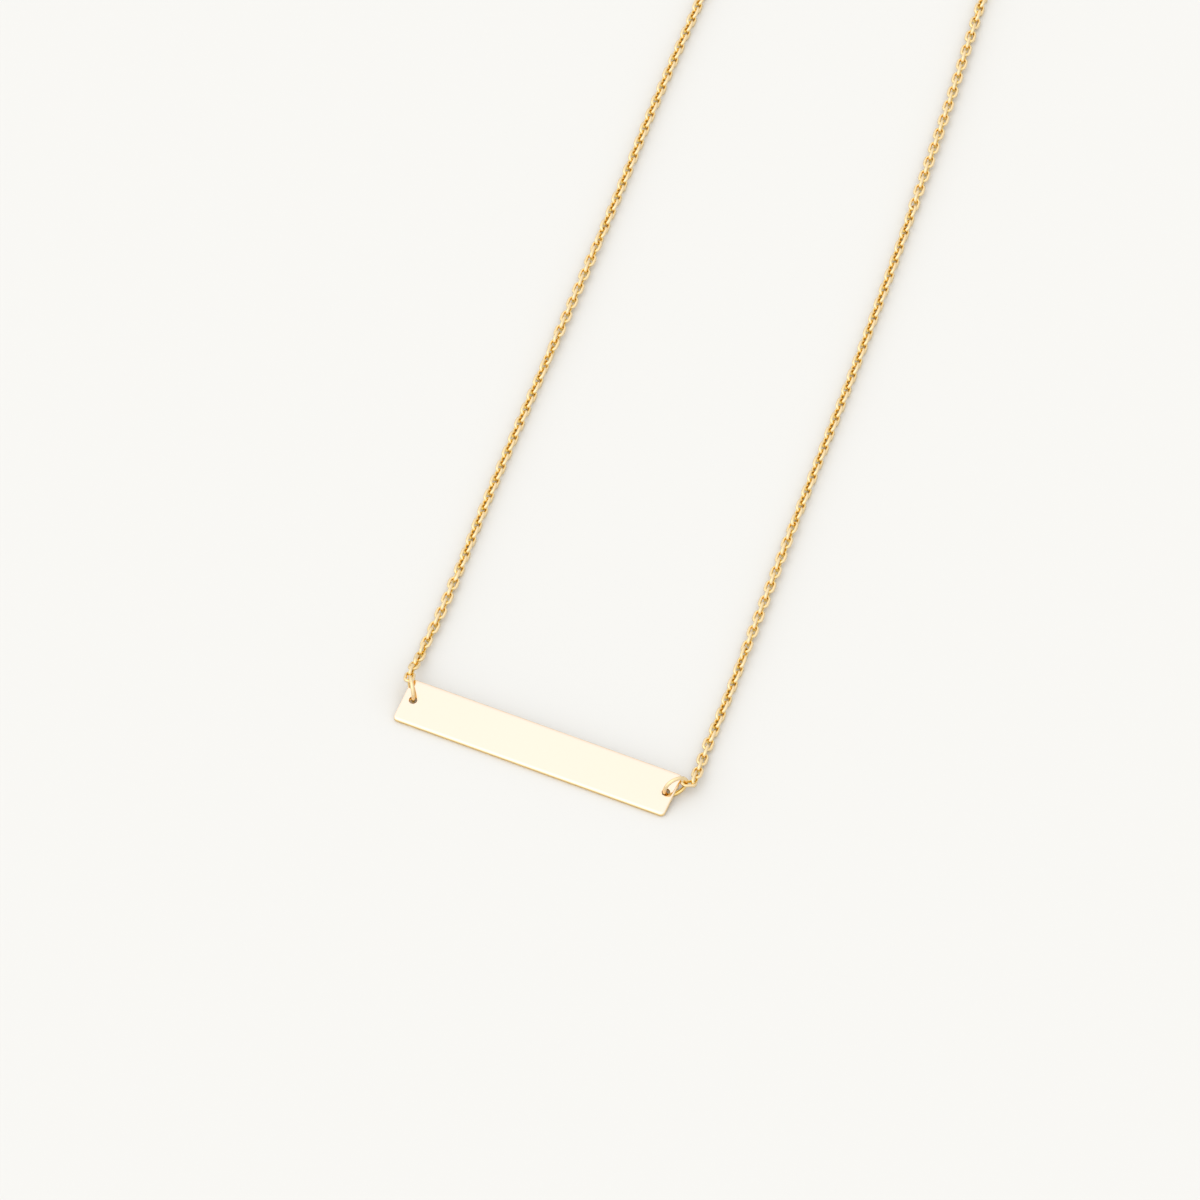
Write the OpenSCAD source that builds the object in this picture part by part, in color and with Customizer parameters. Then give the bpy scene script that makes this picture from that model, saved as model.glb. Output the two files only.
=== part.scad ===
// Bar pendant on a fine cable chain, in yellow gold, laid out on a flat surface.
// A thin polished plate has a hole near each end. A round jump ring stands in
// each hole, and a chain runs from each ring to the clasp at the back of the neck.
// The plate rests on its front edge and on the two rings, so its back is raised.

/* [Bar] */
// Length of the plate
bar_l = 32; // [24:1:40]
// Width of the plate
bar_w = 5.2; // [4.6:0.1:6.4]
// Thickness of the plate
bar_t = 0.5; // [0.4:0.05:0.6]
// Radius of the plate's four corners
corner_r = 0.5; // [0.3:0.1:1]
// Chamfer polished along every edge of the two faces
edge_cut = 0.1; // [0.05:0.01:0.15]

/* [Holes] */
// Diameter of the two holes for the jump rings
hole_d = 0.9; // [0.85:0.05:1.1]
// Centre of the left hole from the plate's left end
hole_inset_left = 1.2; // [1:0.05:1.4]
// Centre of the right hole from the plate's right end
hole_inset_right = 0.85; // [0.8:0.05:1.1]
// Centre of the left hole above the plate's middle line
hole_rise_left = 0.2; // [0:0.05:0.3]
// Centre of the right hole above the plate's middle line
hole_rise_right = 0.05; // [0:0.05:0.3]

/* [Jump rings] */
// Outer diameter of the four round rings
ring_od = 3.05; // [2.95:0.05:3.4]
// Diameter of their wire
ring_wire = 0.42; // [0.36:0.02:0.44]
// Heading of the left ring's plane, from the +X axis
left_ring_turn = 125; // [118:1:130]
// Heading of the right ring's plane, from the +X axis
right_ring_turn = 52; // [46:1:58]
// Lean of the right ring from upright, toward the middle of the plate
right_ring_lean = -3; // [-6:1:4]

/* [Chain] */
// Outer length of one oval link
link_l = 1.86; // [1.7:0.02:2.1]
// Outer width of one oval link, which is the chain's own width
link_w = 1.26; // [1.22:0.02:1.4]
// Diameter of the link's wire
link_wire = 0.36; // [0.3:0.02:0.38]

/* [Clasp] */
// Outer diameter of the clasp's round body
clasp_od = 5.5; // [5:0.1:7]
// Diameter of the clasp's round bar
clasp_bar = 1; // [0.8:0.05:1.05]
// Outer diameter of the eye soldered to the clasp
eye_od = 2.2; // [2:0.1:2.6]
// Diameter of the eye's wire
eye_wire = 0.5; // [0.4:0.05:0.6]

/* [Fits] */
// Gap between a ring and what it holds
ring_gap = 0.05; // [0.03:0.01:0.08]
// Gap between the end of a chain and the link before it
chain_gap = 0.1; // [0.05:0.05:0.2]
// Height of the left end link's wire above the plate's back edge
link_lift = 0.1; // [0.06:0.02:0.2]

/* [Hidden] */

// Points that each strand passes on its way from the plate to the clasp, seen from
// above with the plate's middle at 0, 0, and the place of the clasp between the ends
left_strand = [
    [-17.0, 7.1], [-17.7, 14.6], [-19.8, 29.3], [-21.7, 44.3], [-23.5, 59.6],
    [-25.5, 75.1], [-27.7, 90.7], [-29.6, 106.7], [-31.6, 124], [-33.6, 141],
    [-35.2, 154], [-36.2, 163.4], [-35.5, 169.8], [-33, 174]
];
right_strand = [
    [16.5, 7.2], [15.6, 14.5], [13.6, 29], [11.5, 43.8], [9.5, 58.7],
    [7.3, 73.9], [4.9, 89.1], [2.3, 104.6], [-0.6, 120.2], [-3.3, 136],
    [-5.9, 152], [-8.6, 167.7], [-11.2, 173.4]
];
clasp_place = [-21.1, 178.2];

// Fineness of the round surfaces
round_fn = 48;
// Sides of a chain's tube, and its sections between two points of a strand
tube_sides = 8;
tube_steps = 3;
// Angle above level at which the lower end links hang on the far side of their ring,
// and angle below level at which they slope to the surface
low_hook = -10;
low_slope = 15;
// Slope of the left end link, which hangs over the plate's back corner
left_slope = 16;
// Headings of the end links at the plate and at the clasp
left_link_turn = 108;
right_link_turn = 38;
clasp_link_turn = 203;
catch_link_turn = 337;
// Roll of the right end link about its own length
right_link_roll = -20;

// Centre line of the rings
ring_r = (ring_od - ring_wire) / 2;
// Middle height of a ring that stands upright
ring_z = ring_od / 2;
// Centre line of the links
link_end_r = (link_w - link_wire) / 2;
link_side = link_l - link_w;
// Centre line of the clasp's body and of its eye
clasp_r = (clasp_od - clasp_bar) / 2;
eye_r = (eye_od - eye_wire) / 2;
// Depth to which the eye's wire is sunk in the clasp's bar where it is soldered
eye_sink = 0.8 * eye_wire;
eye_x = -(clasp_r + eye_r + (clasp_bar + eye_wire) / 2 - eye_sink);
// The clasp's body hangs just clear above the bottom of its catch ring
clasp_z = ring_wire + ring_gap + clasp_bar / 2;

// Places of the holes on the plate
hole_left_at = [-bar_l / 2 + hole_inset_left, hole_rise_left];
hole_right_at = [bar_l / 2 - hole_inset_right, hole_rise_right];

function heading(a) = [cos(a), sin(a), 0];
// The left ring's wire lies off the middle of its hole toward the ring's own side,
// the right ring's wire toward the plate's front, each by a share of the room there
hole_room = (hole_d - ring_wire) / 2;
function left_wire(turn) = 0.2 * hole_room * heading(turn);
right_wire = [0, -0.4 * hole_room, 0];
// Point of the plate at a place along it, a place across it from its middle and
// a height above its lower face, with the plate raised by an angle at the back
function plate_point(x, across, h, tilt) =
    let (v = across + bar_w / 2)
    [x, -bar_w / 2 + v * cos(tilt) - h * sin(tilt), v * sin(tilt) + h * cos(tilt)];
// Place of a ring's centre beyond the hole, level with the surface
function ring_reach(h, lean) =
    let (up = (h - ring_centre_z(lean)) / cos(lean))
    sqrt(ring_r * ring_r - up * up);
function ring_centre_z(lean) = ring_r * cos(lean) + ring_wire / 2;

// Point at which a ring's wire passes through the middle of the plate's thickness
function wire_point(hole, wire, tilt) =
    plate_point(hole[0] + wire[0], hole[1] + wire[1], bar_t / 2, tilt);

// Centre of a ring that stands on the surface and passes through a point
function ring_centre(through, turn, lean) =
    let (up = (through[2] - ring_centre_z(lean)) / cos(lean),
         side = heading(turn + 90))
    [through[0], through[1], 0] + heading(turn) * ring_reach(through[2], lean)
        - side * up * sin(lean) + [0, 0, ring_centre_z(lean)];

// The plate sinks into the upright left ring until the strip of metal between its
// left hole and its left end meets the inside of the ring, which holds its back up.
// The hole's lower rim and the end's lower edge both stay clear of the wire.
function wire_room(p, tilt, turn) =
    let (through = wire_point(hole_left_at, left_wire(turn), tilt),
         from_middle = plate_point(p[0], p[1], p[2], tilt)
             - ring_centre(through, turn, 0),
         out = from_middle * heading(turn),
         side = from_middle * heading(turn + 90),
         inward = ring_r - sqrt(out * out + from_middle[2] * from_middle[2]),
         within = abs(side) > ring_wire ? 1 : sign(inward))
    within * sqrt(inward * inward + side * side) - ring_wire / 2;
function hole_rim(turn) = [
    for (a = [turn - 60 : 10 : turn + 60])
        [hole_left_at[0] + hole_d / 2 * cos(a), hole_left_at[1] + hole_d / 2 * sin(a), 0]
];
function corner_inset(across) =
    let (past = max(across - bar_w / 2 + corner_r, 0))
    corner_r - sqrt(corner_r * corner_r - past * past);
end_edge = [
    for (across = [0 : 0.05 : bar_w / 2 - 0.05], cut = [0, edge_cut])
        [-bar_l / 2 + corner_inset(across) + edge_cut - cut, across, cut]
];
function seats(tilt, turn) =
    min([for (p = concat(hole_rim(turn), end_edge)) wire_room(p, tilt, turn)]) > ring_gap;
tilt_low = 5;
tilt_high = 25;
tilt_step = 0.25;
function seated_tilt(a, turn) =
    seats(a, turn) || a > tilt_high ? a : seated_tilt(a + tilt_step, turn);
// A ring that is too small to pass round the strip at its heading turns toward the
// plate's end, where the strip is narrower
turn_step = 5;
function seated_turn(turn) =
    seated_tilt(tilt_low, turn) <= tilt_high || turn > 180 - turn_step
        ? turn : seated_turn(turn + turn_step);
left_turn = seated_turn(left_ring_turn);
bar_tilt = seated_tilt(tilt_low, left_turn);

hole_left = wire_point(hole_left_at, left_wire(left_turn), bar_tilt);
hole_right = wire_point(hole_right_at, right_wire, bar_tilt);

// Point of a ring's centre line on its far side, at an angle above level
function ring_point(through, turn, lean, a) =
    ring_centre(through, turn, lean)
        + ring_r * (cos(a) * heading(turn)
        + sin(a) * (cos(lean) * [0, 0, 1] + sin(lean) * heading(turn + 90)));

// The left end link hangs where it is held above the plate's back corner
back_edge = plate_point(0, bar_w / 2, bar_t, bar_tilt);
left_link_z = back_edge[2] + link_lift + link_wire / 2;
left_hook = asin((left_link_z - ring_z) / ring_r);

// Direction of an end link, and its centre with the ring's wire at its inner end
function link_axis(slope, turn) = cos(slope) * heading(turn) - [0, 0, sin(slope)];
// The ring's wire slants through the link by the angle between them, and curves
// back over the link's end
function link_hold(slant) =
    let (over = (ring_wire + link_wire) / 2 * tan(slant))
    link_l / 2 - link_wire - ring_gap
        - (ring_wire / 2 + link_wire / 2 * sin(slant) + over * over / (2 * ring_r))
        / cos(slant);
function link_centre(through, ring_turn, lean, hook, slope, turn) =
    ring_point(through, ring_turn, lean, hook)
        + link_hold(hook + slope) * link_axis(slope, turn);
// Where the chain begins on its way to a point, clear of the round outer end of
// its end link
function chain_start(through, ring_turn, lean, hook, slope, turn, to) =
    let (round_end = link_centre(through, ring_turn, lean, hook, slope, turn)
             + link_axis(slope, turn) * link_side / 2,
         away = to - [round_end[0], round_end[1]])
    [round_end[0], round_end[1]] + away / norm(away) * (link_w / 2 + chain_gap);

// Points at which the two rings of the clasp pass through it
clasp_at = [clasp_place[0], clasp_place[1], clasp_z];
eye_at = clasp_at + [eye_x, 0, 0];
// The catch ring stands round the middle of the clasp's bar
catch_reach = ring_reach(clasp_z, 0);
catch_at = clasp_at + [clasp_r - catch_reach, 0, 0];

left_last = left_strand[len(left_strand) - 1];
right_last = right_strand[len(right_strand) - 1];
left_route = concat(
    [chain_start(hole_left, left_turn, 0, left_hook, left_slope,
        left_link_turn, left_strand[0])],
    left_strand,
    [chain_start(eye_at, 180, 0, low_hook, low_slope, clasp_link_turn, left_last)]
);
right_route = concat(
    [chain_start(hole_right, right_ring_turn, right_ring_lean, low_hook, low_slope,
        right_link_turn, right_strand[0])],
    right_strand,
    [chain_start(catch_at, 0, 0, low_hook, low_slope, catch_link_turn, right_last)]
);

// The origin is on the surface, in the middle of the whole piece
strand_r = link_w / 2;
low_x = min([for (p = left_strand) p[0]]) - strand_r;
right_link_at = link_centre(hole_right, right_ring_turn, right_ring_lean, low_hook,
    low_slope, right_link_turn);
right_round_end = right_link_at + link_axis(low_slope, right_link_turn) * link_side / 2;
high_x = right_round_end[0] + link_w / 2;
high_y = clasp_place[1] + clasp_od / 2;
low_y = -bar_w / 2 - bar_t * sin(bar_tilt);
origin_shift = [-(low_x + high_x) / 2, -(low_y + high_y) / 2, 0];

// Smooth curve through four points in a row, between the second and the third
function curve_point(a, b, c, d, t) =
    0.5 * (2 * b + (c - a) * t + (2 * a - 5 * b + 4 * c - d) * t * t
        + (3 * b - a - 3 * c + d) * t * t * t);
function route_point(route, i, t) =
    let (last = len(route) - 1)
    curve_point(route[max(i - 1, 0)], route[i], route[min(i + 1, last)],
        route[min(i + 2, last)], t);
function fine_route(route) = concat(
    [for (i = [0 : len(route) - 2]) for (k = [0 : tube_steps - 1])
        route_point(route, i, k / tube_steps)],
    [route[len(route) - 1]]
);

module ring_wire_shape(r, wire) {
    rotate_extrude($fn = round_fn)
        translate([r, 0])
            circle(d = wire, $fn = round_fn);
}

// Jump ring that stands on the surface and passes through a point
module standing_ring(through, turn, lean) {
    translate(ring_centre(through, turn, lean))
        rotate([0, 0, turn])
            rotate([90 - lean, 0, 0])
                ring_wire_shape(ring_r, ring_wire);
}

module oval_link() {
    for (side = [0, 180])
        rotate([0, 0, side]) {
            translate([link_side / 2, 0, 0])
                rotate([0, 0, -90])
                    rotate_extrude(angle = 180, $fn = round_fn)
                        translate([link_end_r, 0])
                            circle(d = link_wire, $fn = round_fn);
            translate([-link_side / 2, link_end_r, 0])
                rotate([0, 90, 0])
                    cylinder(d = link_wire, h = link_side, $fn = round_fn);
        }
}

// End link that hangs on a standing ring and slopes down to the surface
module end_link(through, ring_turn, lean, hook, slope, turn, roll) {
    translate(link_centre(through, ring_turn, lean, hook, slope, turn))
        rotate([roll, slope, turn])
            oval_link();
}

// Outer form of a strand of chain that lies on the surface
module strand(route) {
    line = fine_route(route);
    last = len(line) - 1;
    corner_radius = strand_r / cos(180 / tube_sides);
    points = [
        for (i = [0 : last])
            let (ahead = line[min(i + 1, last)] - line[max(i - 1, 0)],
                 across = [ahead[1], -ahead[0]] / norm(ahead))
            for (k = [0 : tube_sides - 1])
                let (a = (k + 0.5) * 360 / tube_sides,
                     out = line[i] + across * corner_radius * cos(a))
                [out[0], out[1], strand_r + corner_radius * sin(a)]
    ];
    walls = [
        for (i = [0 : last - 1]) for (k = [0 : tube_sides - 1])
            let (here = i * tube_sides,
                 next = (i + 1) * tube_sides,
                 k2 = (k + 1) % tube_sides)
            for (face = [[here + k, next + k, next + k2], [here + k, next + k2, here + k2]])
                face
    ];
    ends = [
        [for (k = [0 : tube_sides - 1]) k],
        [for (k = [tube_sides - 1 : -1 : 0]) last * tube_sides + k]
    ];
    polyhedron(points = points, faces = concat(walls, ends));
}

module plate_outline() {
    in_l = bar_l - 2 * corner_r;
    in_w = bar_w - 2 * corner_r;
    square([bar_l, in_w], center = true);
    square([in_l, bar_w], center = true);
    for (x = [-in_l / 2, in_l / 2], y = [-in_w / 2, in_w / 2])
        translate([x, y])
            circle(r = corner_r, $fn = round_fn);
}

// Section of the plate across a width, with its four edges cut
module cut_section(width) {
    half = width / 2;
    polygon([
        [-half + edge_cut, 0], [half - edge_cut, 0], [half, edge_cut],
        [half, bar_t - edge_cut], [half - edge_cut, bar_t], [-half + edge_cut, bar_t],
        [-half, bar_t - edge_cut], [-half, edge_cut]
    ]);
}

module flat_bar() {
    difference() {
        intersection() {
            linear_extrude(height = bar_t)
                plate_outline();
            translate([-bar_l / 2, 0, 0])
                rotate([90, 0, 90])
                    linear_extrude(height = bar_l)
                        cut_section(bar_w);
            translate([0, bar_w / 2, 0])
                rotate([90, 0, 0])
                    linear_extrude(height = bar_w)
                        cut_section(bar_l);
        }
        for (at = [hole_left_at, hole_right_at])
            translate([at[0], at[1], -bar_t])
                cylinder(d = hole_d, h = 3 * bar_t, $fn = round_fn);
    }
}

module bar() {
    color("#f3dfa2")
        translate(origin_shift)
            translate([0, -bar_w / 2, 0])
                rotate([bar_tilt, 0, 0])
                    translate([0, bar_w / 2, 0])
                        flat_bar();
}

module ring_left() {
    color("#e8c069")
        translate(origin_shift)
            standing_ring(hole_left, left_turn, 0);
}

module ring_right() {
    color("#e8c069")
        translate(origin_shift)
            standing_ring(hole_right, right_ring_turn, right_ring_lean);
}

module link_left() {
    color("#dfb04f")
        translate(origin_shift)
            end_link(hole_left, left_turn, 0, left_hook, left_slope,
                left_link_turn, 0);
}

module link_right() {
    color("#dfb04f")
        translate(origin_shift)
            end_link(hole_right, right_ring_turn, right_ring_lean, low_hook,
                low_slope, right_link_turn, right_link_roll);
}

module chain_left() {
    color("#dfb04f")
        translate(origin_shift)
            strand(left_route);
}

module chain_right() {
    color("#dfb04f")
        translate(origin_shift)
            strand(right_route);
}

module clasp() {
    color("#e3b95c")
        translate(origin_shift)
            translate(clasp_at) {
                ring_wire_shape(clasp_r, clasp_bar);
                translate([eye_x, 0, 0])
                    ring_wire_shape(eye_r, eye_wire);
            }
}

module ring_clasp() {
    color("#e8c069")
        translate(origin_shift)
            standing_ring(eye_at, 180, 0);
}

module ring_catch() {
    color("#e8c069")
        translate(origin_shift)
            standing_ring(catch_at, 0, 0);
}

module link_clasp() {
    color("#dfb04f")
        translate(origin_shift)
            end_link(eye_at, 180, 0, low_hook, low_slope, clasp_link_turn, 0);
}

module link_catch() {
    color("#dfb04f")
        translate(origin_shift)
            end_link(catch_at, 0, 0, low_hook, low_slope, catch_link_turn, 0);
}

bar();
ring_left();
ring_right();
link_left();
link_right();
chain_left();
chain_right();
clasp();
ring_clasp();
ring_catch();
link_clasp();
link_catch();
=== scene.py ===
import math

import bpy
import numpy as np
from mathutils import Matrix, Vector
from mathutils.geometry import delaunay_2d_cdt


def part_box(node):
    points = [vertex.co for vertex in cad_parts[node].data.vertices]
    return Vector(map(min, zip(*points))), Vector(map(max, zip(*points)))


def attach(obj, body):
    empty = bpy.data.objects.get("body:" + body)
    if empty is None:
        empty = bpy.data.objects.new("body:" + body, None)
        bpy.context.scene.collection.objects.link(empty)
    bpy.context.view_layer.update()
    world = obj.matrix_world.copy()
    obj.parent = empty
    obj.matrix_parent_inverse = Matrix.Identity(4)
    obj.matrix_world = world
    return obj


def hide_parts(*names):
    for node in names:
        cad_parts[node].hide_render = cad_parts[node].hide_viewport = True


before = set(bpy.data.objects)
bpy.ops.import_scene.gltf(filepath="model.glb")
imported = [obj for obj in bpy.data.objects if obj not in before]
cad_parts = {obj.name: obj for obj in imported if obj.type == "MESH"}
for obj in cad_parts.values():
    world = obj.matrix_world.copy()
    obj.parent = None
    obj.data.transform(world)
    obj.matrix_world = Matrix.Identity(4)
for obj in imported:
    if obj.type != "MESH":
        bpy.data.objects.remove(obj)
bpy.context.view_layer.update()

scene = bpy.context.scene
MM = 0.001

# The view: the camera stands in front of the necklace and a little to its right, and
# looks down on the plate and the lower part of the loop through a long lens.
camera_data = bpy.data.cameras.new("camera")
camera_data.lens = 343.5
camera_data.sensor_width = 36.0
camera_data.clip_end = 20.0
camera = bpy.data.objects.new("camera", camera_data)
scene.collection.objects.link(camera)
camera_at = Vector((341.613, -790.573, 950.178)) * MM
looks_at = Vector((6.660, -67.070, 0.021)) * MM
camera.location = camera_at
camera.rotation_euler = (looks_at - camera_at).to_track_quat("-Z", "Y").to_euler()
scene.camera = camera
scene.view_settings.view_transform = "Standard"

# The floor: a plain sheet of pale matte board, on which the necklace lies.
floor_half = 3.0
floor_mesh = bpy.data.meshes.new("floor")
floor_mesh.from_pydata(
    [(-floor_half, -floor_half, 0), (floor_half, -floor_half, 0),
     (floor_half, floor_half, 0), (-floor_half, floor_half, 0)],
    [], [(0, 1, 2, 3)])
floor = bpy.data.objects.new("floor", floor_mesh)
scene.collection.objects.link(floor)
board = bpy.data.materials.new("pale_board")
board.use_nodes = True
board_shader = board.node_tree.nodes["Principled BSDF"]
board_shader.inputs["Base Color"].default_value = (0.722, 0.719, 0.702, 1)
board_shader.inputs["Roughness"].default_value = 0.9
board_shader.inputs["Specular IOR Level"].default_value = 0.1
floor_mesh.materials.append(board)

# The light: a white studio that is brightest high over the front and the left, where it
# whitens the plate's front edge, and darkest low at the back and the right.
brightest_way = (-0.31, -0.40, 0.862)
# How light the studio is, by the cosine of the angle away from its brightest part
sky_steps = [(-0.30, 0.50), (0.02, 0.56), (0.32, 0.65), (0.58, 0.70), (0.75, 0.725),
             (0.84, 0.76), (0.92, 0.92), (1.0, 1.0)]
world = bpy.data.worlds.new("studio")
scene.world = world
world.use_nodes = True
studio = world.node_tree.nodes["Background"]
studio.inputs["Strength"].default_value = 1.80
sky_place = world.node_tree.nodes.new("ShaderNodeTexCoord")
toward = world.node_tree.nodes.new("ShaderNodeVectorMath")
toward.operation = "DOT_PRODUCT"
toward.inputs[1].default_value = brightest_way
sky_share = world.node_tree.nodes.new("ShaderNodeMapRange")
sky_share.inputs["From Min"].default_value = -1.0
sky_ramp = world.node_tree.nodes.new("ShaderNodeValToRGB")
ramp_steps = sky_ramp.color_ramp.elements
while len(ramp_steps) < len(sky_steps):
    ramp_steps.new(1.0)
for step, (place, light) in zip(ramp_steps, sky_steps):
    step.position = (place + 1) / 2
    step.color = (light, light * 0.995, light * 0.985, 1)
world.node_tree.links.new(sky_place.outputs["Generated"], toward.inputs[0])
world.node_tree.links.new(toward.outputs["Value"], sky_share.inputs["Value"])
world.node_tree.links.new(sky_share.outputs["Result"], sky_ramp.inputs["Fac"])
world.node_tree.links.new(sky_ramp.outputs["Color"], studio.inputs["Color"])

# The plate: a strip of gold sheet cut to a slim rectangle, with a hole drilled near
# each end. Its face is polished flat as a mirror, and the buff has rounded its edges.
bar_l = 32.0 * MM
bar_w = 5.2 * MM
corner_r = 0.5 * MM
hole_r = 0.45 * MM
hole_places = [(-14.80 * MM, 0.20 * MM), (15.15 * MM, 0.05 * MM)]
bar_tilt = math.radians(14.25)
plate_middle = Vector((9.5406, -89.1135, 0.0)) * MM
corner_steps = 8
hole_sides = 48
# Each step of the edge from the back face to the front, 0.5 mm above it: how far in from
# the long sides, how far in from the ends and how far up, in mm, and the lean from level,
# in degrees
edge_steps = [
    (0.10, 0.10, 0.00, 180), (0.06, 0.06, 0.012, 150), (0.02, 0.02, 0.05, 115),
    (0.0, 0.0, 0.10, 85), (0.0, 0.0, 0.30, 74), (0.012, 0.012, 0.345, 60),
    (0.04, 0.03, 0.398, 40), (0.09, 0.06, 0.442, 25), (0.17, 0.10, 0.474, 15),
    (0.25, 0.14, 0.492, 7), (0.33, 0.19, 0.50, 0),
]
# Each step of a hole from the back face to the front: how far out from its wall and how
# far up, in mm, and the lean from level, in degrees
rim_steps = [(0.05, 0.00, 180), (0.015, 0.015, 135), (0.0, 0.05, 90), (0.0, 0.46, 90),
             (0.005, 0.482, 55), (0.015, 0.495, 25), (0.03, 0.50, 0)]


def plate_loop(side_inset, end_inset):
    """Points of the plate's outline, moved in, and their directions out of it."""
    places, outs = [], []
    for quarter, (sx, sy) in enumerate(((1, 1), (-1, 1), (-1, -1), (1, -1))):
        centre = Vector((sx * (bar_l / 2 - corner_r), sy * (bar_w / 2 - corner_r)))
        for k in range(corner_steps + 1):
            a = math.pi / 2 * (quarter + k / corner_steps)
            out = Vector((math.cos(a), math.sin(a)))
            reach = Vector((out.x * (corner_r - end_inset),
                            out.y * (corner_r - side_inset)))
            places.append(centre + reach)
            outs.append(out)
    return places, outs


def plate_mesh(name):
    """The whole plate with its two holes, leaned back as it lies."""
    points, normals, faces = [], [], []

    def add_loop(places, outs, height, lean, inward):
        start = len(points)
        side = -1 if inward else 1
        for place, out in zip(places, outs):
            points.append((place.x, place.y, height))
            normals.append((out.x * side * math.sin(lean), out.y * side * math.sin(lean),
                            math.cos(lean)))
        return list(range(start, len(points)))

    def wall(low, high, inward):
        n = len(low)
        for i in range(n):
            j = (i + 1) % n
            face = (low[i], low[j], high[j], high[i])
            faces.append(face[::-1] if inward else face)

    outline = []
    for side_inset, end_inset, height, lean in edge_steps:
        places, outs = plate_loop(side_inset * MM, end_inset * MM)
        outline.append(add_loop(places, outs, height * MM, math.radians(lean), False))
    for low, high in zip(outline, outline[1:]):
        wall(low, high, False)
    back_edges, front_edges = [outline[0]], [outline[-1]]
    around = [2 * math.pi * k / hole_sides for k in range(hole_sides)]
    outs = [Vector((math.cos(a), math.sin(a))) for a in around]
    for hole in hole_places:
        rim = []
        for grow, height, lean in rim_steps:
            places = [Vector(hole) + out * (hole_r + grow * MM) for out in outs]
            rim.append(add_loop(places, outs, height * MM, math.radians(lean), True))
        for low, high in zip(rim, rim[1:]):
            wall(low, high, True)
        back_edges.append(rim[0])
        front_edges.append(rim[-1])
    # The two flat faces: triangles between the outline and the holes
    for loops, up in ((back_edges, False), (front_edges, True)):
        flat_ids = [i for loop in loops for i in loop]
        where = {v: k for k, v in enumerate(flat_ids)}
        flat = [Vector(points[i][:2]) / MM for i in flat_ids]
        borders = [(where[loop[i]], where[loop[(i + 1) % len(loop)]])
                   for loop in loops for i in range(len(loop))]
        spots, _, cells, sources, _, _ = delaunay_2d_cdt(flat, borders, [], 1, 1e-6)
        for cell in cells:
            corners = [spots[k] for k in cell]
            middle = sum(corners, Vector((0, 0))) * MM / len(cell)
            if any((middle - Vector(p)).length < hole_r for p in hole_places):
                continue
            ids = [flat_ids[sources[k][0]] for k in cell]
            turns_left = (corners[1] - corners[0]).cross(corners[2] - corners[0]) > 0
            faces.append(tuple(ids if turns_left == up else ids[::-1]))
    # The plate stands on the lower front edge, with its back raised
    tilt = Matrix.Rotation(bar_tilt, 3, "X")
    front = Vector((0, -bar_w / 2, 0))
    placed = [tilt @ (Vector(p) - front) + front + plate_middle for p in points]
    turned = [(tilt @ Vector(n)).normalized() for n in normals]
    mesh = bpy.data.meshes.new(name)
    mesh.from_pydata([tuple(p) for p in placed], [], faces)
    mesh.update()
    for polygon in mesh.polygons:
        polygon.use_smooth = True
    mesh.normals_split_custom_set_from_vertices([tuple(n) for n in turned])
    return mesh


def piece(name, mesh, material, nodes):
    """Puts a mesh of one metal in the scene, in place of the part's own solid."""
    obj = bpy.data.objects.new(name, mesh)
    scene.collection.objects.link(obj)
    mesh.materials.append(material)
    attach(obj, "root")
    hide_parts(*nodes)
    return obj


# Fine lines that a buffing wheel leaves: a height for the bump and a small change of
# roughness. The lines run along the first axis of the place that they are given.
def make_buff_lines():
    group = bpy.data.node_groups.new("buff_lines", "ShaderNodeTree")
    face = group.interface
    for label, kind, value in (("Along", "NodeSocketFloat", 40.0),
                               ("Across", "NodeSocketFloat", 9000.0),
                               ("Smooth", "NodeSocketFloat", 0.05),
                               ("Rough", "NodeSocketFloat", 0.12)):
        socket = face.new_socket(label, in_out="INPUT", socket_type=kind)
        socket.default_value = value
    face.new_socket("Roughness", in_out="OUTPUT", socket_type="NodeSocketFloat")
    face.new_socket("Height", in_out="OUTPUT", socket_type="NodeSocketFloat")
    nodes, links = group.nodes, group.links
    given = nodes.new("NodeGroupInput")
    result = nodes.new("NodeGroupOutput")
    place = nodes.new("ShaderNodeTexCoord")
    stretch = nodes.new("ShaderNodeCombineXYZ")
    links.new(given.outputs["Along"], stretch.inputs["X"])
    links.new(given.outputs["Across"], stretch.inputs["Y"])
    links.new(given.outputs["Across"], stretch.inputs["Z"])
    scaled = nodes.new("ShaderNodeVectorMath")
    scaled.operation = "MULTIPLY"
    links.new(place.outputs["Object"], scaled.inputs[0])
    links.new(stretch.outputs["Vector"], scaled.inputs[1])
    lines = nodes.new("ShaderNodeTexNoise")
    lines.inputs["Scale"].default_value = 1.0
    lines.inputs["Detail"].default_value = 3.0
    links.new(scaled.outputs["Vector"], lines.inputs["Vector"])
    cloud = nodes.new("ShaderNodeTexNoise")
    cloud.inputs["Scale"].default_value = 420.0
    cloud.inputs["Detail"].default_value = 2.0
    links.new(place.outputs["Object"], cloud.inputs["Vector"])
    both = nodes.new("ShaderNodeMath")
    both.operation = "MULTIPLY"
    links.new(lines.outputs["Fac"], both.inputs[0])
    links.new(cloud.outputs["Fac"], both.inputs[1])
    rough = nodes.new("ShaderNodeMapRange")
    rough.inputs["From Min"].default_value = 0.12
    rough.inputs["From Max"].default_value = 0.42
    links.new(both.outputs["Value"], rough.inputs["Value"])
    links.new(given.outputs["Smooth"], rough.inputs["To Min"])
    links.new(given.outputs["Rough"], rough.inputs["To Max"])
    links.new(rough.outputs["Result"], result.inputs["Roughness"])
    links.new(lines.outputs["Fac"], result.inputs["Height"])
    return group


buff_lines = make_buff_lines()


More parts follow.
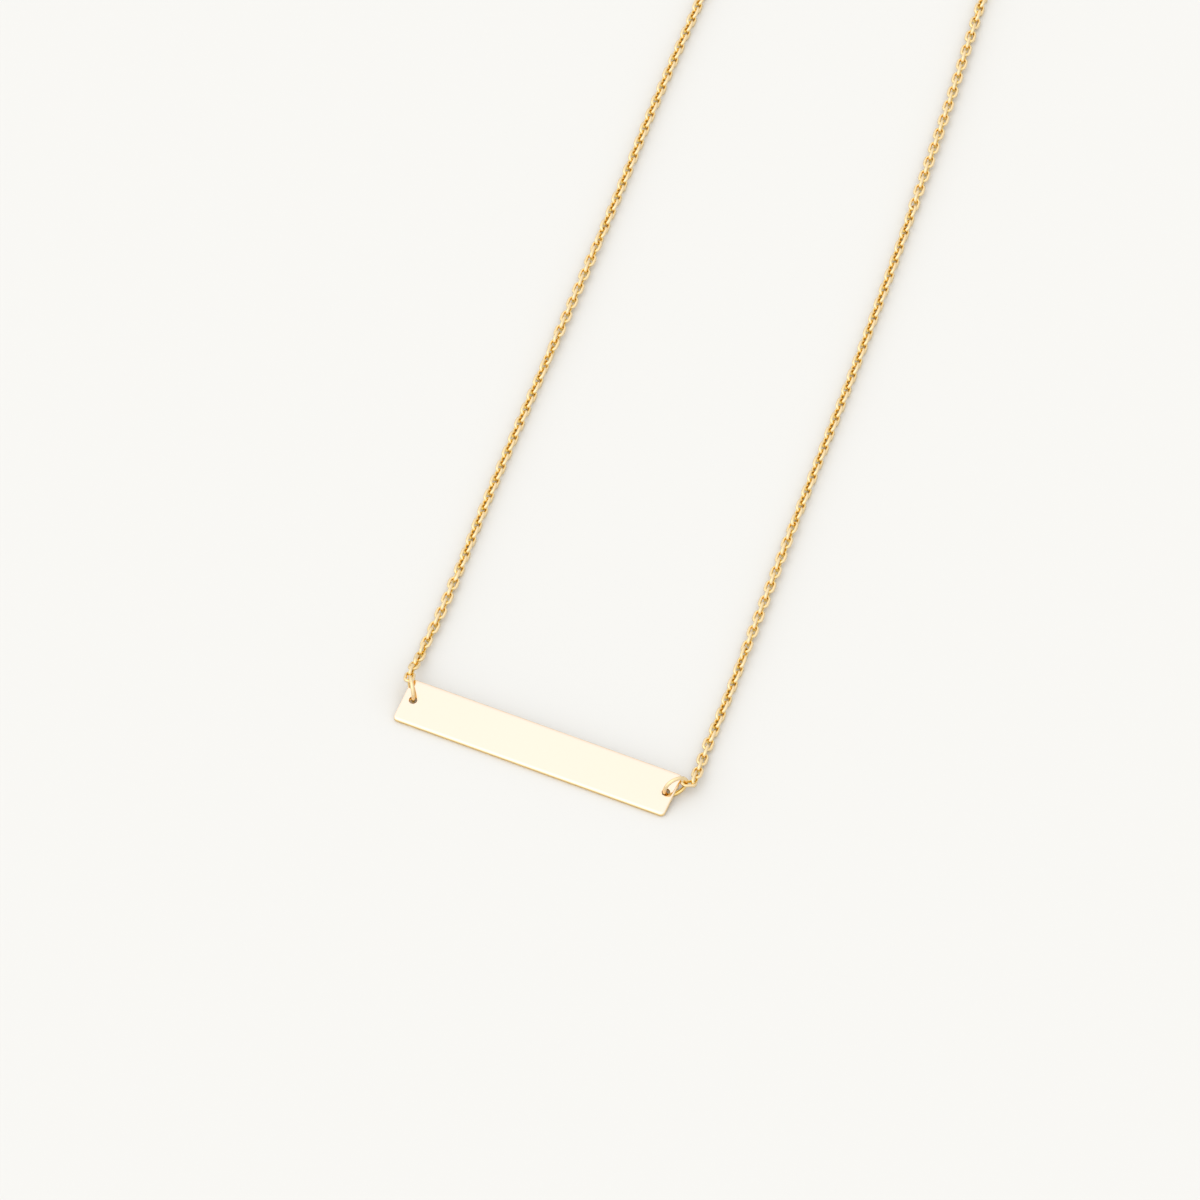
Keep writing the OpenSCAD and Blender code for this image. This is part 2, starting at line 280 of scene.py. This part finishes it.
# How open a place is, by its occlusion: 1 in the open, 0 where other metal is near. The
# gold uses it to place its painted shade.
def make_shade_reach():
    group = bpy.data.node_groups.new("shade_reach", "ShaderNodeTree")
    socket = group.interface.new_socket("Distance", in_out="INPUT",
                                        socket_type="NodeSocketFloat")
    socket.default_value = 0.0006
    group.interface.new_socket("Openness", in_out="OUTPUT", socket_type="NodeSocketFloat")
    nodes, links = group.nodes, group.links
    given = nodes.new("NodeGroupInput")
    result = nodes.new("NodeGroupOutput")
    near = nodes.new("ShaderNodeAmbientOcclusion")
    near.samples = 6
    links.new(given.outputs["Distance"], near.inputs["Distance"])
    span = nodes.new("ShaderNodeMapRange")
    span.inputs["From Min"].default_value = 0.35
    span.inputs["From Max"].default_value = 0.85
    links.new(near.outputs["AO"], span.inputs["Value"])
    links.new(span.outputs["Result"], result.inputs["Openness"])
    return group


shade_reach = make_shade_reach()


def polished_gold(name, colour, deep, painted_shade, near, along, across, smooth, rough, relief,
                  patch):
    """Gold that drifts between colour and deep, in patches as fine as patch says, and
    turns, as painted shade, to its deeper shade colour where other metal is near. Its
    buffing lines have one scale along and one across, change its roughness from smooth to
    rough, and stand out by relief."""
    material = bpy.data.materials.new(name)
    material.use_nodes = True
    nodes, links = material.node_tree.nodes, material.node_tree.links
    shader = nodes["Principled BSDF"]
    shader.inputs["Metallic"].default_value = 1.0
    place = nodes.new("ShaderNodeTexCoord")
    drift = nodes.new("ShaderNodeTexNoise")
    drift.inputs["Scale"].default_value = patch
    drift.inputs["Detail"].default_value = 2.0
    links.new(place.outputs["Object"], drift.inputs["Vector"])
    blend = nodes.new("ShaderNodeMix")
    blend.data_type = "RGBA"
    blend.inputs["A"].default_value = (*colour, 1)
    blend.inputs["B"].default_value = (*deep, 1)
    links.new(drift.outputs["Fac"], blend.inputs["Factor"])
    # Painted shade: the colour turns deep amber where other metal is near, standing for
    # the shade and the gold's reflections between parts
    reach = nodes.new("ShaderNodeGroup")
    reach.node_tree = shade_reach
    reach.inputs["Distance"].default_value = near
    shade_blend = nodes.new("ShaderNodeMix")
    shade_blend.name = "shade_blend"
    shade_blend.data_type = "RGBA"
    shade_blend.inputs["A"].default_value = (*painted_shade, 1)
    links.new(blend.outputs["Result"], shade_blend.inputs["B"])
    links.new(reach.outputs["Openness"], shade_blend.inputs["Factor"])
    links.new(shade_blend.outputs["Result"], shader.inputs["Base Color"])
    marks = nodes.new("ShaderNodeGroup")
    marks.node_tree = buff_lines
    marks.inputs["Along"].default_value = along
    marks.inputs["Across"].default_value = across
    marks.inputs["Smooth"].default_value = smooth
    marks.inputs["Rough"].default_value = rough
    links.new(marks.outputs["Roughness"], shader.inputs["Roughness"])
    bump = nodes.new("ShaderNodeBump")
    bump.inputs["Strength"].default_value = relief
    bump.inputs["Distance"].default_value = 0.00001
    links.new(marks.outputs["Height"], bump.inputs["Height"])
    links.new(bump.outputs["Normal"], shader.inputs["Normal"])
    return material


bar_gold = polished_gold("bar_gold", colour=(0.84, 0.69, 0.58), deep=(0.84, 0.68, 0.565),
                         painted_shade=(0.90, 0.58, 0.12), near=0.0010, along=60.0,
                         across=7000.0, smooth=0.03, rough=0.07, relief=0.02, patch=60.0)
# Painted shade: the narrow edges, the hole walls and the back face, which do not face up,
# take a deeper colour that stands for the darker floor they reflect, while the flat face
# keeps the paler colour
painted_edge_shade = (0.84, 0.66, 0.38, 1)
bar_nodes, bar_links = bar_gold.node_tree.nodes, bar_gold.node_tree.links
shade_blend = bar_nodes["shade_blend"]
facing = bar_nodes.new("ShaderNodeNewGeometry")
raised = bar_nodes.new("ShaderNodeVectorMath")
raised.operation = "DOT_PRODUCT"
raised.inputs[1].default_value = (0, -math.sin(bar_tilt), math.cos(bar_tilt))
bar_links.new(facing.outputs["Normal"], raised.inputs[0])
flatness = bar_nodes.new("ShaderNodeMapRange")
flatness.inputs["From Min"].default_value = 0.75
flatness.inputs["From Max"].default_value = 0.985
bar_links.new(raised.outputs["Value"], flatness.inputs["Value"])
face_blend = bar_nodes.new("ShaderNodeMix")
face_blend.data_type = "RGBA"
face_blend.inputs["A"].default_value = painted_edge_shade
bar_links.new(shade_blend.inputs["B"].links[0].from_socket, face_blend.inputs["B"])
bar_links.new(flatness.outputs["Result"], face_blend.inputs["Factor"])
bar_links.new(face_blend.outputs["Result"], shade_blend.inputs["B"])
piece("bar_plate", plate_mesh("bar_plate"), bar_gold, ["bar"])

# The jump rings: a turn of round gold wire each, closed, with its joint soldered and
# polished over. Two stand in the plate's holes, one in the clasp's eye and one round the
# clasp's body.
ring_r = 1.315 * MM
ring_wire_r = 0.21 * MM
ring_steps = 96
ring_sides = 24
# How much thinner the wire is at the joint, and how far that reaches, in mm
joint_waist = 0.05
joint_reach = 0.06
# Each ring's heading and lean, in degrees, and how far round it its joint is, in radians
rings = {"ring_left": (125, 0, 2.6), "ring_right": (52, -3, 0.6),
         "ring_clasp": (180, 0, 1.2), "ring_catch": (0, 0, 2.0)}


def wire_loop(places, outs, up, radii, sides):
    """Points and faces of a round wire that runs once round a flat loop."""
    points, faces = [], []
    n = len(places)
    for place, out, radius in zip(places, outs, radii):
        for k in range(sides):
            a = 2 * math.pi * k / sides
            points.append(place + (out * math.cos(a) + up * math.sin(a)) * radius)
    for i in range(n):
        for k in range(sides):
            j, m = (i + 1) % n, (k + 1) % sides
            faces.append((i * sides + k, j * sides + k, j * sides + m, i * sides + m))
    return points, faces


def smooth_mesh(name, points, faces):
    """A mesh that is shaded smooth all over."""
    mesh = bpy.data.meshes.new(name)
    mesh.from_pydata([tuple(p) for p in points], [], [tuple(f) for f in faces])
    mesh.update()
    for polygon in mesh.polygons:
        polygon.use_smooth = True
    return mesh


def ring_mesh(name, centre, turn, lean, joint):
    """A jump ring round the middle given, in the upright plane that heads along turn."""
    along = Vector((math.cos(turn), math.sin(turn), 0))
    across = Vector((-math.sin(turn), math.cos(turn), 0))
    rise = Vector((0, 0, 1)) * math.cos(lean) + across * math.sin(lean)
    up = along.cross(rise).normalized()
    places, outs, radii = [], [], []
    for i in range(ring_steps):
        a = 2 * math.pi * i / ring_steps
        out = along * math.cos(a) + rise * math.sin(a)
        away = abs((a - joint + math.pi) % (2 * math.pi) - math.pi) * ring_r / MM
        places.append(centre + out * ring_r)
        outs.append(out)
        thinner = joint_waist * math.exp(-(away / joint_reach) ** 2)
        radii.append(ring_wire_r * (1 - thinner))
    return smooth_mesh(name, *wire_loop(places, outs, up, radii, ring_sides))


def middle_of(node):
    """The middle of the box round one of the part's solids."""
    low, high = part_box(node)
    return (low + high) / 2


ring_gold = polished_gold("ring_gold", colour=(0.85, 0.68, 0.42),
                          deep=(0.83, 0.65, 0.37), painted_shade=(0.93, 0.60, 0.08),
                          near=0.0020, along=900.0, across=5000.0, smooth=0.08,
                          rough=0.16, relief=0.05, patch=500.0)
for node, (turn, lean, joint) in rings.items():
    mesh = ring_mesh(node + "_wire", middle_of(node), math.radians(turn),
                     math.radians(lean), joint)
    piece(node + "_wire", mesh, ring_gold, [node])

# The links: ovals of fine round gold wire, each through the next and soldered shut.
# The last link of each strand hangs on a jump ring.
link_end_r = 0.45 * MM
link_side = 0.6 * MM
link_wire_r = 0.18 * MM
link_sides = 12
link_end_steps = 10
# Where a link's straight side has its steps, in mm from the middle, and how much the
# wire swells at the soldered joint in the middle of one side
side_places = (0.18, 0.06, -0.06, -0.18)
joint_half = 0.1
joint_swell = 1.04
# Each end link's heading, how far it slopes down that way and its roll, in degrees
end_links = {"link_left": (108, 16, 0), "link_right": (38, 15, -20),
             "link_clasp": (203, 15, 0), "link_catch": (337, 15, 0)}


def link_form():
    """One link that lies flat along the first axis, with its joint on one side."""
    places, outs, radii = [], [], []
    for end in (0, 1):
        turn = math.pi * end
        middle = Vector((math.cos(turn), 0, 0)) * link_side / 2
        for k in range(link_end_steps + 1):
            a = turn - math.pi / 2 + math.pi * k / link_end_steps
            out = Vector((math.cos(a), math.sin(a), 0))
            places.append(middle + out * link_end_r)
            outs.append(out)
            radii.append(link_wire_r)
        side = Vector((0, math.cos(turn), 0))
        for x in side_places:
            at_joint = end == 0 and abs(x) < joint_half
            places.append(Vector((x * MM * math.cos(turn), 0, 0)) + side * link_end_r)
            outs.append(side.copy())
            radii.append(link_wire_r * (joint_swell if at_joint else 1.0))
    points, faces = wire_loop(places, outs, Vector((0, 0, 1)), radii, link_sides)
    return np.array([tuple(p) for p in points]), np.array(faces)


link_points, link_faces = link_form()


def link_axes(along, roll):
    """Turns a link so that it lies along a direction, rolled about it from flat."""
    along = along.normalized()
    side = Vector((-along.y, along.x, 0)).normalized()
    rise = along.cross(side)
    width = side * math.cos(roll) + rise * math.sin(roll)
    return np.array([tuple(along), tuple(width), tuple(along.cross(width))])


chain_gold = polished_gold("chain_gold", colour=(0.85, 0.675, 0.42),
                           deep=(0.83, 0.645, 0.36), painted_shade=(0.93, 0.645, 0.06),
                           near=0.0006, along=2500.0, across=6000.0, smooth=0.10,
                           rough=0.20, relief=0.06, patch=700.0)
end_axis, end_middle = {}, {}
for node, (turn, slope, roll) in end_links.items():
    a, b = math.radians(turn), math.radians(slope)
    axis = Vector((math.cos(a) * math.cos(b), math.sin(a) * math.cos(b), -math.sin(b)))
    end_axis[node] = axis
    end_middle[node] = middle_of(node)
    axes = link_axes(axis, math.radians(roll))
    turned = link_points @ axes + np.array(end_middle[node])
    mesh = smooth_mesh(node + "_wire", turned, link_faces)
    piece(node + "_wire", mesh, chain_gold, [node])

# The two strands of chain: cable chain, whose links follow one another a quarter turn
# apart, from the end link at the plate down to the floor and round to the clasp.
pitch = 1.095 * MM
# Over what run a strand comes down to the floor from its end link, and how far over the
# floor it lies
drop_run = 4.2 * MM
floor_gap = 0.02 * MM
# The strands' course over the floor, in mm from the plate's middle, and how far aside of
# it they lie
strand_shift = (-0.05, 0)
strand_points = {
    "chain_left": [
        (-17.0, 7.1), (-17.7, 14.6), (-19.8, 29.3), (-21.7, 44.3), (-23.5, 59.6),
        (-25.5, 75.1), (-27.7, 90.7), (-29.6, 106.7), (-31.6, 124), (-33.6, 141),
        (-35.2, 154), (-36.2, 163.4), (-35.5, 169.8), (-33, 174)],
    "chain_right": [
        (16.5, 7.2), (15.6, 14.5), (13.6, 29), (11.5, 43.8), (9.5, 58.7),
        (7.3, 73.9), (4.9, 89.1), (2.3, 104.6), (-0.6, 120.2), (-3.3, 136),
        (-5.9, 152), (-8.6, 167.7), (-11.2, 173.4)],
}
strand_ends = {"chain_left": ("link_left", "link_clasp"),
               "chain_right": ("link_right", "link_catch")}
# How far each strand is twisted, in degrees from flat, at distances in mm from the plate
strand_twist = {
    "chain_left": [(0, 0), (3, -15), (6, -10), (8.4, 0), (14, 0), (17, 45), (45, 45),
                   (54, 90), (64, 90), (69, 45), (200, 45)],
    "chain_right": [(0, -20), (3, 10), (6, 20), (8.5, 45), (17.5, 45), (21, 90), (30, 90),
                    (33, 80), (37, 80), (40, 45), (86, 45), (88, 0), (112, 0), (120, 45),
                    (200, 45)],
}
curve_points = 3000


def smooth_path(route, steps=40):
    """Points of the curve that runs evenly through a route, close together."""
    path = []
    last = len(route) - 1
    for i in range(last):
        a, b = route[max(i - 1, 0)], route[i]
        c, d = route[i + 1], route[min(i + 2, last)]
        for k in range(steps):
            t = k / steps
            path.append(0.5 * (2 * b + (c - a) * t + (2 * a - 5 * b + 4 * c - d) * t * t
                               + (3 * b - a - 3 * c + d) * t ** 3))
    path.append(route[-1])
    return np.array(path)


def runs(path):
    """How far along a path each of its points is."""
    return np.concatenate([[0], np.cumsum(np.linalg.norm(np.diff(path, axis=0), axis=1))])


def strand_mesh(node):
    """One strand's links, from the end link at the plate to the one at the clasp."""
    first, last = strand_ends[node]
    start = np.array(end_middle[first] + end_axis[first] * pitch / 2)
    end = np.array(end_middle[last] + end_axis[last] * pitch / 2)
    middle = np.array(plate_middle)[:2] + np.array(strand_shift) * MM
    route = [start[:2]] + [np.array(p) * MM + middle for p in strand_points[node]]
    path = smooth_path(route + [end[:2]])
    run = runs(path)
    total = run[-1]
    knots, twists = np.array(strand_twist[node], float).T
    shares = np.linspace(0, total, curve_points)
    rolls = np.radians(np.interp(shares / MM, knots, twists))
    rest = (link_end_r * np.maximum(np.abs(np.sin(rolls)), np.abs(np.cos(rolls)))
            + link_wire_r + floor_gap)

    def fade(s):
        share = np.clip(s / drop_run, 0, 1)
        return 1 - share ** 2 * (3 - 2 * share)

    height = (rest + (start[2] - rest[0]) * fade(shares)
              + (end[2] - rest[-1]) * fade(total - shares))
    curve = np.stack([np.interp(shares, run, path[:, 0]),
                      np.interp(shares, run, path[:, 1]), height], 1)
    length = runs(curve)
    count = round(length[-1] / pitch)
    step = length[-1] / count

    def at(s):
        return np.array([np.interp(s, length, curve[:, k]) for k in range(3)])

    points, faces = [], []
    for i in range(count):
        s = (i + 0.5) * step
        along = Vector(at(s + step / 2) - at(s - step / 2))
        roll = float(np.interp(s, length, rolls)) + ((i + 1) % 2) * math.pi / 2
        points.append(link_points @ link_axes(along, roll) + at(s))
        faces.append(link_faces + i * len(link_points))
    print(node, "links", count, "pitch mm", round(step / MM, 4), "length mm",
          round(length[-1] / MM, 2))
    return smooth_mesh(node + "_links", np.concatenate(points), np.concatenate(faces))


for node in strand_points:
    piece(node + "_links", strand_mesh(node), chain_gold, [node])

# The clasp: a round body of gold tube with a small eye soldered to it, which closes the
# loop at the back of the neck. It is left plain, as the photograph does not show it.
clasp_r = 2.25 * MM
clasp_tube_r = 0.5 * MM
eye_r = 0.85 * MM
eye_wire_r = 0.25 * MM
clasp_middle = Vector((-21.1, 178.2, 0.97)) * MM + plate_middle
eye_middle = clasp_middle + Vector((-3.45, 0, 0)) * MM


def flat_ring(centre, radius, wire_r, steps, sides):
    """Points and faces of a round wire bent to a level ring."""
    places, outs = [], []
    for i in range(steps):
        a = 2 * math.pi * i / steps
        out = Vector((math.cos(a), math.sin(a), 0))
        places.append(centre + out * radius)
        outs.append(out)
    return wire_loop(places, outs, Vector((0, 0, 1)), [wire_r] * steps, sides)


body_points, body_faces = flat_ring(clasp_middle, clasp_r, clasp_tube_r,
                                    steps=96, sides=28)
eye_points, eye_faces = flat_ring(eye_middle, eye_r, eye_wire_r,
                                  steps=56, sides=18)
clasp_points = body_points + eye_points
clasp_faces = body_faces + [tuple(i + len(body_points) for i in f) for f in eye_faces]
clasp_gold = polished_gold("clasp_gold", colour=(0.85, 0.68, 0.42),
                           deep=(0.83, 0.65, 0.37), painted_shade=(0.93, 0.60, 0.08),
                           near=0.0020, along=900.0, across=4000.0, smooth=0.07,
                           rough=0.15, relief=0.05, patch=300.0)
piece("clasp_body", smooth_mesh("clasp_body", clasp_points, clasp_faces), clasp_gold,
      ["clasp"])
